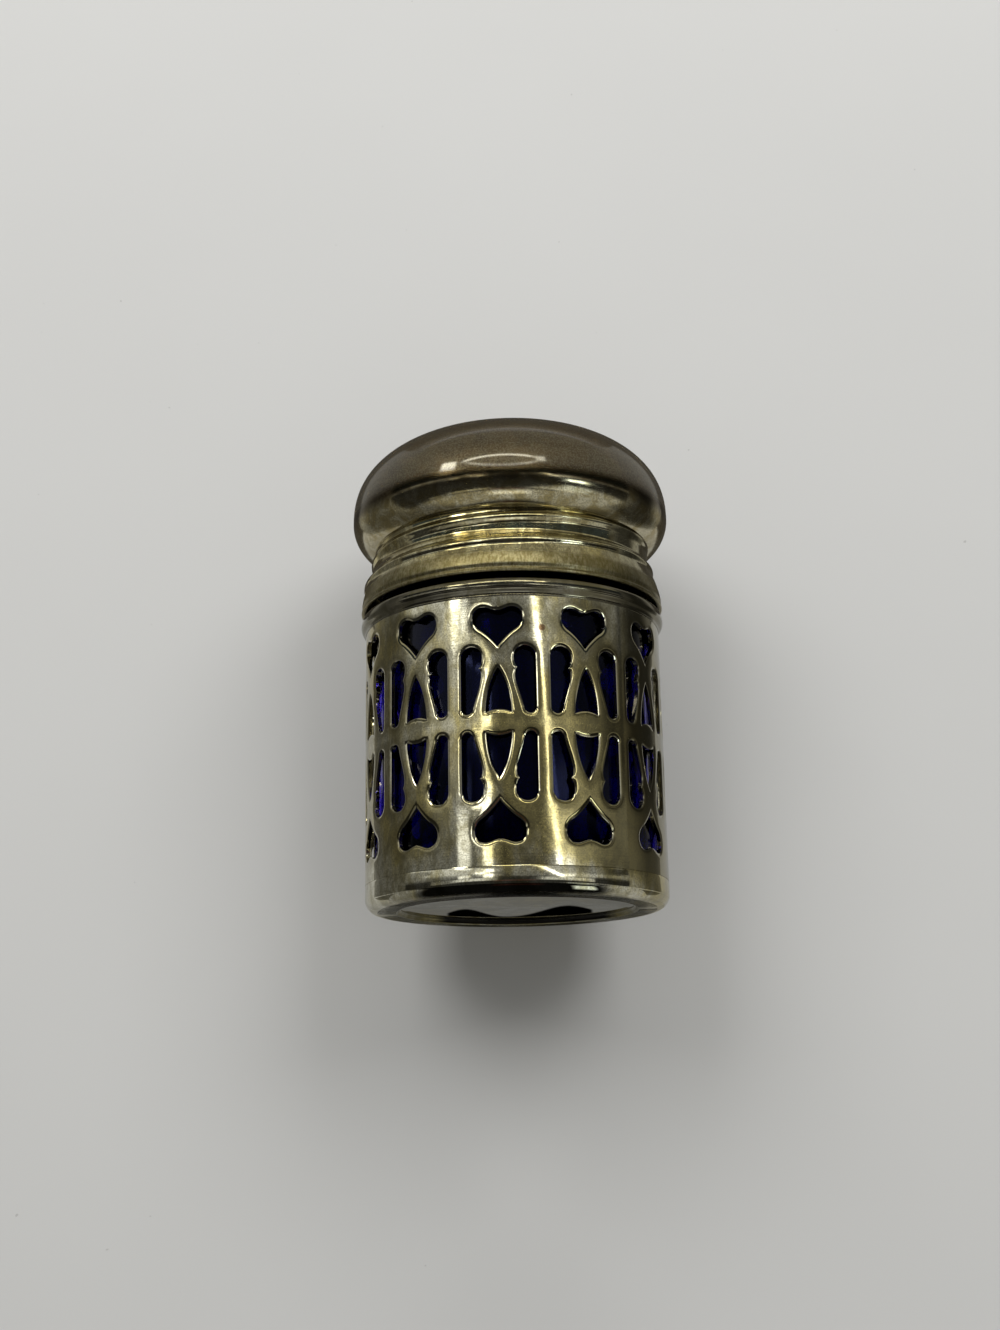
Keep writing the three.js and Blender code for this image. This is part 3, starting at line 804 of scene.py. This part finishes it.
def base_silver():
    """Smooth and glossy under the foot, with a dull standing ring and painted shade, near black, in the
    recess's far corner.
    """
    plate = Silver("base_silver", PLATE, 0.49, 0.54, 0.055)
    plate.shade_side(0.15)
    plate.fine_tarnish()
    above = plate.ranged(plate.z, UNDERSIDE_TOP - 0.05, UNDERSIDE_TOP + 0.05)
    plate.rough = plate.times(plate.rough, plate.ranged(above, 0.0, 1.0, 0.3, 1.0))
    plate.roughen(plate.ranged(plate.z, 0.15, 0.35, 0.3, 0.0))
    plate.uneven(kinks=0.006, share=above)
    # Painted shade: near-black colour in the recess's far corner, on the side towards +Y only.
    level = plate.add("CombineXYZ", {"X": plate.x, "Y": plate.y}).outputs["Vector"]
    from_corner = plate.math("ABSOLUTE", plate.math("SUBTRACT", plate.length(level), RECESS_SHADE_RADIUS))
    recess_shade = plate.times(plate.ranged(from_corner, 0.2, 0.3, 1.0, 0.0), plate.ranged(plate.y, 7.0, 9.0))
    plate.paint(plate.times(recess_shade, plate.ranged(plate.z, 0.02, 0.1)), (0.01, 0.009, 0.007))
    return plate.finished(brushed=0.2)


def rim_silver():
    plate = Silver("rim_silver", DARK_PLATE, 0.52, 0.54, 0.1)
    plate.shade_side(0.7)
    plate.fine_tarnish()
    plate.uneven(lines=0.0004)
    return plate.finished()


def collar_silver():
    """Golden, with fine upright ticks along the skirt."""
    plate = Silver("collar_silver", GOLDEN_PLATE, 0.55, 0.54, 0.085)
    plate.shade_side(0.4)
    plate.fine_tarnish()
    plate.uneven(dents=0.03, lines=0.0003)
    ticks = plate.noise(plate.place((4.0, 4.0, 1.6)), 1.0, 2.0, 0.6)
    band = plate.ranged(plate.z, SKIRT_EDGE + 2.0, SKIRT_EDGE + 2.6, 1.0, 0.0)
    plate.normal = plate.bump(plate.times(ticks, band), 0.02, after=plate.normal)
    plate.roughen(plate.times(band, 0.26))
    plate.paint(plate.times(plate.ranged(ticks, 0.35, 0.7, 0.5, 0.9), band), (0.17, 0.14, 0.055))
    return plate.finished()


def dome_silver():
    """A glossy film of brown tarnish on top, and cleaner plate where the dome turns in below."""
    plate = Silver("dome_silver", BROWN_TARNISH, 0.5, 0.55, 0.12, cloud_stretch=1.0)
    level = plate.plus(plate.z, plate.times(plate.math("SUBTRACT", plate.stain, 0.5), 2.0))
    cleaner = plate.mix(plate.ranged(plate.clouds, 0.4, 0.6), (0.62, 0.57, 0.4), (0.4, 0.33, 0.16))
    plate.paint(plate.ranged(level, 41.2, 42.8, 1.0, 0.0), cleaner)
    plate.fine_tarnish()
    film = plate.ranged(plate.z, 42.6, 43.9)
    plate.roughen(plate.times(film, 0.26))
    plate.uneven(dents=0.03, lines=0.0003)
    coat = {"Coat Weight": film, "Coat Roughness": 0.06, "Coat IOR": 1.55}
    return plate.finished(metallic=plate.ranged(film, 0.0, 1.0, 1.0, 0.7), coat=coat)


def cobalt_glass():
    """Deep blue glass, a little uneven, as blown into a mould."""
    nodes = Nodes("cobalt_glass")
    place = nodes.place()
    depth = nodes.noise(place, 0.14, 2.0)
    waves = nodes.noise(nodes.place((1.0, 1.0, 0.35)), 0.3, 2.0)
    colour = nodes.mix(nodes.ranged(depth, 0.3, 0.7), (0.006, 0.004, 0.15), (0.014, 0.008, 0.3))
    shader = nodes.add("BsdfPrincipled", {
        "Base Color": colour,
        "Roughness": nodes.ranged(nodes.noise(place, 0.8, 5.0, 0.65), 0.5, 0.78, 0.02, 0.07),
        "IOR": 1.52,
        "Transmission Weight": 1.0,
        "Specular Tint": (0.1, 0.12, 0.3),
        "Normal": nodes.bump(waves, 0.03),
    })
    return nodes.surface(shader.outputs["BSDF"])


def seal_card():
    """Brown pressed card with short fibres."""
    nodes = Nodes("seal_card")
    fibres = nodes.noise(nodes.place((1.0, 1.0, 3.0)), 2.4, 6.0, 0.7, 1.5)
    flecks = nodes.noise(nodes.place(), 5.0, 2.0)
    colour = nodes.mix(nodes.ranged(fibres, 0.3, 0.7), (0.36, 0.24, 0.13), (0.52, 0.39, 0.24))
    colour = nodes.mix(nodes.ranged(flecks, 0.64, 0.72, 0.0, 0.6), colour, (0.18, 0.11, 0.06))
    shader = nodes.add("BsdfPrincipled", {
        "Base Color": colour, "Roughness": 0.9, "Normal": nodes.bump(fibres, 0.05),
    })
    return nodes.surface(shader.outputs["BSDF"])


# Camera, fitted to the photograph: it looks up at the shaker from below its foot

CAMERA_TURN = math.radians(5.79)
CAMERA_TILT = math.radians(15.16)
CAMERA_ROLL = math.radians(1.0)
CAMERA_DISTANCE = 175.04
CAMERA_SHIFT = (1.554, -9.749)
AIM_HEIGHT = 16.8
IMAGE_HEIGHT = 1330
FOCAL_PIXELS = 1623
SENSOR = 36.0


def turned(vector):
    """From the camera's own front direction to the shaker's frame."""
    return Matrix.Rotation(CAMERA_TURN, 3, "Z") @ Vector(vector)


def placed(place, right, up, back):
    axes = Matrix((right, up, back)).transposed()
    return Matrix.Translation(place * MM) @ axes.to_4x4()


def make_camera():
    tilt, roll = CAMERA_TILT, CAMERA_ROLL
    right = turned((math.cos(roll), math.sin(roll) * math.sin(tilt), -math.sin(roll) * math.cos(tilt)))
    up = turned((math.sin(roll), -math.cos(roll) * math.sin(tilt), math.cos(roll) * math.cos(tilt)))
    forward = turned((0.0, math.cos(tilt), math.sin(tilt)))
    aim = Vector((0.0, 0.0, AIM_HEIGHT))
    place = aim - CAMERA_SHIFT[0] * right - CAMERA_SHIFT[1] * up - CAMERA_DISTANCE * forward
    data = bpy.data.cameras.new("camera")
    data.sensor_width = SENSOR
    data.lens = FOCAL_PIXELS * SENSOR / IMAGE_HEIGHT
    data.clip_start = 0.005
    data.clip_end = 20.0
    camera = linked("camera", data)
    camera.matrix_world = placed(place, right, up, -forward)
    bpy.context.scene.camera = camera


# Stage: the pale table that the shaker lies against and a floor for other views

TABLE_COLOUR = (0.585, 0.583, 0.568)
TABLE_REACH = 420.0
TABLE_FADE = (190.0, 400.0)
TABLE_TOUCH = ((SLEEVE_RADIUS, BASE_CORNER), (DOME_RADIUS, DOME_WIDEST))
FLOOR_REACH = 900.0
FLOOR_FADE = (300.0, 850.0)


def show_only_to(obj, **rays):
    for ray in ("camera", "diffuse", "glossy", "transmission", "volume_scatter", "shadow"):
        setattr(obj, "visible_" + ray, rays.get(ray, False))


def pale_ground(name, fade):
    """Plain pale ground that fades out far from the shaker and is clear from behind."""
    nodes = Nodes(name)
    place = nodes.place()
    tone = nodes.noise(place, 0.02, 3.0)
    specks = nodes.ranged(nodes.noise(place, 0.9, 1.0), 0.8, 0.84, 0.0, 0.35)
    dull = [c * 0.985 for c in TABLE_COLOUR]
    shade = nodes.mix(nodes.ranged(tone, 0.3, 0.7), dull, TABLE_COLOUR)
    shade = nodes.mix(specks, shade, (0.2, 0.19, 0.18))
    diffuse = nodes.add("BsdfDiffuse", {"Color": shade}).outputs["BSDF"]
    clear = nodes.add("BsdfTransparent").outputs["BSDF"]
    back = nodes.add("NewGeometry").outputs["Backfacing"]
    gone = nodes.math("MAXIMUM", nodes.ranged(nodes.length(place), *fade), back)
    shader = nodes.add("MixShader", {0: gone, 1: diffuse, 2: clear})
    return nodes.surface(shader.outputs[0])


def ground_sheet(name, reach, fade):
    corners = [(-reach, -reach, 0), (reach, -reach, 0), (reach, reach, 0), (-reach, reach, 0)]
    return to_object(name, corners, [(0, 1, 2, 3)], pale_ground(name + "_surface", fade))


def table_slope():
    low, high = TABLE_TOUCH
    return (high[0] - low[0]) / (high[1] - low[1])


def table_depth(height):
    """How far behind the axis the table's face lies at a height."""
    radius, level = TABLE_TOUCH[0]
    return radius + (height - level) * table_slope() + 0.02


def make_table():
    """Touches the dome's widest level and the sleeve's foot behind the shaker."""
    lean = math.atan(table_slope())
    along = turned((0.0, math.sin(lean), math.cos(lean)))
    side = turned((1.0, 0.0, 0.0))
    middle = turned((0.0, table_depth(AIM_HEIGHT), AIM_HEIGHT))
    table = ground_sheet("table", TABLE_REACH, TABLE_FADE)
    table.matrix_world = placed(middle, side, along, side.cross(along))


def make_floor():
    floor = ground_sheet("floor", FLOOR_REACH, FLOOR_FADE)
    show_only_to(floor, camera=True)


# What the metal mirrors, by azimuth and elevation in degrees seen from the shaker

ROOM_RADIUS = 620.0


def smooth(value, low, high):
    """0 below low, 1 above high and a soft step between them."""
    rise = np.clip((value - low) / (high - low), 0.0, 1.0)
    return rise * rise * (3 - 2 * rise)


def hump(value, centre, half_width, softness):
    """1 inside the half width round the centre, falling smoothly to 0 over the softness."""
    return 1 - smooth(np.abs(value - centre), half_width, half_width + softness)


def wall_gleams(azimuth, elevation):
    """Two tall wandering gleams and the glow round them, which the sleeve mirrors."""
    left = -21 - 23 * smooth(elevation, 15.4, 17.2) - 7 * hump(elevation, 11, 0.3, 1.2)
    right = 18 + 1.25 * (17.5 - elevation)
    low = 1 - smooth(elevation, 8.0, 9.6)
    light = 0.19 + 0.06 * smooth(elevation, 9.5, 12) - 0.2 * smooth(azimuth, 58, 80)
    light = np.maximum(light, 0.03)
    light += 0.42 * smooth(elevation, 8.6, 10.8) * hump(azimuth, left - 22, 20, 7)
    light += 0.3 * hump(azimuth, right + 8, 7, 16) + 0.25 * hump(azimuth, left, 5, 7)
    light += 0.34 * (1 - smooth(elevation, 9.0, 10.5)) * hump(azimuth, 60, 28, 12)
    light += 0.2 * hump(azimuth, 79, 4, 6) * hump(elevation, 18, 1.5, 1.5)
    light -= 0.07 * hump(azimuth, left + 11, 3, 3) + 0.08 * hump(azimuth, right - 8, 3, 4)
    light += 4.0 * hump(azimuth, left, 2.2, 2.2) + 4.5 * hump(azimuth, right, 1.2, 1.6)
    light += 1.2 * low * hump(azimuth, 37, 3, 5) + 1.6 * low * hump(azimuth, -39, 3, 3)
    return light * hump(elevation, 14, 6.5, 3)


def window_light(azimuth, elevation):
    """A lit window high up, brightest at its ends and along its upper edge."""
    bow = 6.0 * ((azimuth + 4) / 30) ** 2
    light = 0.15 * hump(azimuth, -10, 33, 8) * hump(elevation, 34, 3.5, 3)
    light += 16.0 * hump(azimuth, -45, 4, 3) * hump(elevation, 30, 2.5, 3)
    light += 11.0 * hump(azimuth, -8, 22, 8) * hump(elevation + bow, 39.5, 0.7, 1.4)
    light += 6.0 * hump(azimuth, -6, 20, 10) * hump(elevation - bow, 26.5, 0.5, 1.4)
    light += 8.0 * hump(azimuth, 23, 2, 3) * hump(elevation, 34, 1.5, 3)
    return light


def lamp_light(azimuth, elevation):
    light = 7.0 * hump(azimuth, 48, 5, 5) * hump(elevation, -2.5, 1.6, 2.5)
    return light + 0.5 * hump(azimuth, 50, 8, 6) * hump(elevation, -25, 5, 4)


def ground_light(azimuth, elevation):
    """The pale table top in front, which the dome's underside mirrors."""
    start = 38 - 20 * smooth(azimuth, 5, 50)
    light = 0.42 * smooth(-elevation, start - 5, start + 5) * (1 - 0.9 * smooth(-elevation, 66, 78))
    light += 0.9 * hump(azimuth, 0, 12, 12) * hump(elevation, -50, 2, 5)
    return light * (0.25 + 0.75 * smooth(azimuth, -88, -62))


def room_light(azimuth, elevation):
    """The whole room in front, a little warmer towards its ceiling."""
    ceiling = 0.42 * smooth(elevation, 23, 30) - 0.1 * smooth(elevation, 46, 54)
    light = 0.035 + ceiling + wall_gleams(azimuth, elevation) + window_light(azimuth, elevation)
    light = light + ground_light(azimuth, elevation)
    lamp = lamp_light(azimuth, elevation)
    warm = smooth(elevation, 23, 30)
    return light + lamp * 0.86, light * (1 - 0.05 * warm) + lamp * 0.97, light * (0.96 - 0.22 * warm) + lamp


def around(azimuth, radius, height):
    angle = np.radians(azimuth)
    return radius * np.sin(angle), -radius * np.cos(angle), height


def card(name, columns, rows, across, up, place_at, light_at):
    """A sheet seen only in reflections. Its places and light are functions of two coordinates on it."""
    v, u = np.meshgrid(np.linspace(*up, rows), np.linspace(*across, columns), indexing="ij")
    places = np.stack(np.broadcast_arrays(*place_at(u, v)), axis=-1).reshape(-1, 3)
    places = places @ np.array(Matrix.Rotation(CAMERA_TURN, 3, "Z")).T
    light = np.stack(np.broadcast_arrays(*light_at(u, v), 1.0), axis=-1)
    nodes = Nodes(name)
    shade = nodes.add("Attribute", attribute_name="light").outputs["Color"]
    material = nodes.surface(nodes.add("Emission", {"Color": shade}).outputs["Emission"])
    material.cycles.emission_sampling = "NONE"
    sheet = to_object(name, places, grid_faces(rows, columns), material)
    layer = sheet.data.attributes.new("light", "FLOAT_COLOR", "POINT")
    layer.data.foreach_set("color", light.ravel())
    show_only_to(sheet, glossy=True)


def make_room():
    def place_at(azimuth, elevation):
        rise = np.radians(elevation)
        return around(azimuth, ROOM_RADIUS * np.cos(rise), ROOM_RADIUS * np.sin(rise) + AIM_HEIGHT)

    card("room_card", 401, 361, (-100.0, 100.0), (-90.0, 90.0), place_at, room_light)


def curved_card(name, radius, azimuths, heights, light_at):
    """Part of a tube round the shaker, from one azimuth and level to another."""
    card(name, 91, 31, azimuths, heights, lambda azimuth, height: around(azimuth, radius, height), light_at)


def low_strip(azimuth, height):
    """The feet of the two gleams and a reddish middle, which the foot's corner mirrors."""
    feet = hump(azimuth, -28, 8, 10) + 0.8 * hump(azimuth, 30, 9, 12)
    ends = 0.2 * smooth(-azimuth, 33, 55) + 0.5 * smooth(azimuth, 26, 44)
    feet = 0.05 + ends + 0.75 * feet * smooth(height, 0.5, 4.0)
    red = 0.07 * hump(height, -0.5, 2.0, 1.5) * hump(azimuth, -2, 9, 8)
    return feet + red, feet + red * 0.2, feet * 0.95 + red * 0.15


def shelf_shade(azimuth, height):
    """A dark shelf, which keeps the gleams out of the cap's dark band."""
    shade = 0.05 + 0.02 * hump(height, 60.0, 3.0, 4.0) * hump(azimuth, 20, 10, 40)
    return shade * 0.8, shade, shade * 1.1


def side_shade(azimuth, height, low_light, foot_light):
    """Darkness beside the shaker up to its cap, and pale wall over it."""
    off_front = np.abs(azimuth)
    foot_light = foot_light - (foot_light - 0.12) * smooth(off_front, 74, 96)
    low_light = low_light + 0.1 * (1 - smooth(off_front, 74, 85))
    shade = foot_light + (low_light - foot_light) * smooth(height, 8.0, 18.0)
    back = smooth(off_front, 96, 110) * smooth(height, 34.0, 44.0)
    shade = shade + (0.4 - shade) * np.maximum(smooth(height, 50.0, 62.0), back)
    shade = shade + (0.3 - shade) * smooth(off_front, 104, 122)
    return shade, shade * 0.98, shade * 0.88


def hollow_shade(x, y):
    """Darkness in front of the far side of the recess."""
    shade = 0.1 - 0.095 * hump(x, 0.6, 3.0, 2.5)
    return shade, shade, shade


def under_shade(azimuth, radius):
    """Darkness under the foot's front corner, with one cold bright spot."""
    shade = 0.004 + 0.3 * smooth(-azimuth, 45, 59) + 0.5 * smooth(azimuth, 38, 52)
    cold = 1.3 * hump(azimuth, 31, 4, 3) * hump(radius, 18.2, 1.0, 1.2)
    red = 0.04 * hump(azimuth, 0, 8, 6) * smooth(radius, 19.0, 23.0)
    return shade + cold * 0.9 + red, shade + cold + red * 0.25, shade + cold * 1.02 + red * 0.15


def foot_shade(x, z):
    """What the recess under the foot mirrors: pale table and the black contact shadow where the foot meets
    it.
    """
    edge = -0.3 - 1.0 * np.exp(-((x + 5.9) / 2.8) ** 2) - 1.2 * np.exp(-((x - 5.9) / 3.9) ** 2)
    black = smooth(z, edge - 0.05, edge + 0.05) * hump(x, 0.4, 8.1, 0.4)
    shade = (0.11 + 0.05 * hump(z, -2.0, 1.2, 2.6)) * (1 - black)
    return shade, shade, shade * 0.96


def limb_shade(x, height):
    """A dark patch on the table round the dome, which keeps the dome's limb dark."""
    shade = 0.07 + 0.33 * smooth(np.hypot(x, height - 44.0), 70.0, 185.0)
    return shade, shade * 0.9, shade * 0.72


def make_low_cards():
    """Small cards under the foot, at its back and just in front of the table."""
    card("hollow_card", 53, 9, (-13.0, 13.0), (-13.0, 10.0), lambda x, y: (x, y, -3.1), hollow_shade)
    card("under_card", 151, 41, (-75.0, 75.0), (13.0, 24.0), lambda a, r: around(a, r, -3.0), under_shade)
    card("foot_card", 241, 161, (-15.0, 15.0), (-9.0, 0.2), lambda x, z: (x, 15.55, z), foot_shade)
    card("limb_card", 61, 37, (-190.0, 190.0), (38.5, 250.0), lambda x, z: (x, table_depth(z) - 0.4, z),
         limb_shade)


# Lamps and the world, which light the shaker softly

LAMPS = (
    ("high_left", (-0.48, -0.7, 0.53), 640.0, 330.0, 1.8),
    ("high_right", (0.48, -0.7, 0.53), 640.0, 330.0, 1.8),
    ("above", (0.0, -0.35, 0.94), 520.0, 300.0, 0.8),
)
WORLD_SEEN = 0.56
WORLD_LIGHT = 0.3
WORLD_COLOUR = (1.0, 0.995, 0.965)


def area_lamp(name, direction, distance, size, power):
    """A soft lamp that faces the shaker. The metal doesn't mirror it."""
    data = bpy.data.lights.new(name, "AREA")
    data.shape = "SQUARE"
    data.size = size * MM
    data.energy = power
    lamp = linked(name, data)
    away = turned(direction).normalized()
    lamp.location = (away * distance + Vector((0.0, 0.0, AIM_HEIGHT))) * MM
    lamp.rotation_mode = "QUATERNION"
    lamp.rotation_quaternion = away.to_track_quat("Z", "Y")
    lamp.visible_glossy = False
    lamp.visible_camera = False


def make_world():
    """Pale wherever it is seen, mirrored or seen through glass, and a little dimmer as a light."""
    nodes = Nodes("pale_room", "worlds")
    rays = nodes.add("LightPath").outputs
    seen = rays["Is Camera Ray"]
    for kind in ("Is Glossy Ray", "Is Transmission Ray"):
        seen = nodes.math("MAXIMUM", seen, rays[kind])
    strength = nodes.ranged(seen, 0.0, 1.0, WORLD_LIGHT, WORLD_SEEN)
    background = nodes.add("Background", {"Color": WORLD_COLOUR, "Strength": strength})
    bpy.context.scene.world = nodes.surface(background.outputs["Background"], "OutputWorld")


# The shaker's pieces with their CAD node, body and slot name; each goes on its CAD body and its CAD part is
# hidden

pieces = (
    (pressed_base(base_silver()), "pressed_base", "sleeve", "sleeve_silver"),
    (pierced_wall(sleeve_silver()), "pierced_wall", "sleeve", "sleeve_silver"),
    (rim_moulding(rim_silver()), "rim_moulding", "sleeve", "sleeve_silver"),
    (glass_liner(cobalt_glass()), "glass_liner", "liner", "cobalt_glass"),
    (seal_ring(seal_card()), "seal_ring", "seal", "seal_card"),
    (threaded_collar(collar_silver()), "threaded_collar", "cap", "collar_silver"),
    (perforated_dome(dome_silver()), "perforated_dome", "cap", "dome_silver"),
)
for piece, node, body, slot in pieces:
    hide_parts(node)
    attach(piece, body)

# The stage round them

make_camera()
make_table()
make_floor()
make_room()
curved_card("low_card", 64.0, (-58.0, 52.0), (-3.0, 7.0), low_strip)
curved_card("shelf_card", 77.0, (-100.0, 100.0), (54.0, 67.5), shelf_shade)
curved_card("left_card", 40.0, (-128.0, -74.0), (-40.0, 90.0), lambda a, z: side_shade(a, z, 0.13, 0.14))
curved_card("right_card", 40.0, (74.0, 128.0), (-40.0, 90.0), lambda a, z: side_shade(a, z, 0.045, 0.34))
make_low_cards()
make_world()
for lamp in LAMPS:
    area_lamp(*lamp)
bpy.context.scene.view_settings.view_transform = "Standard"
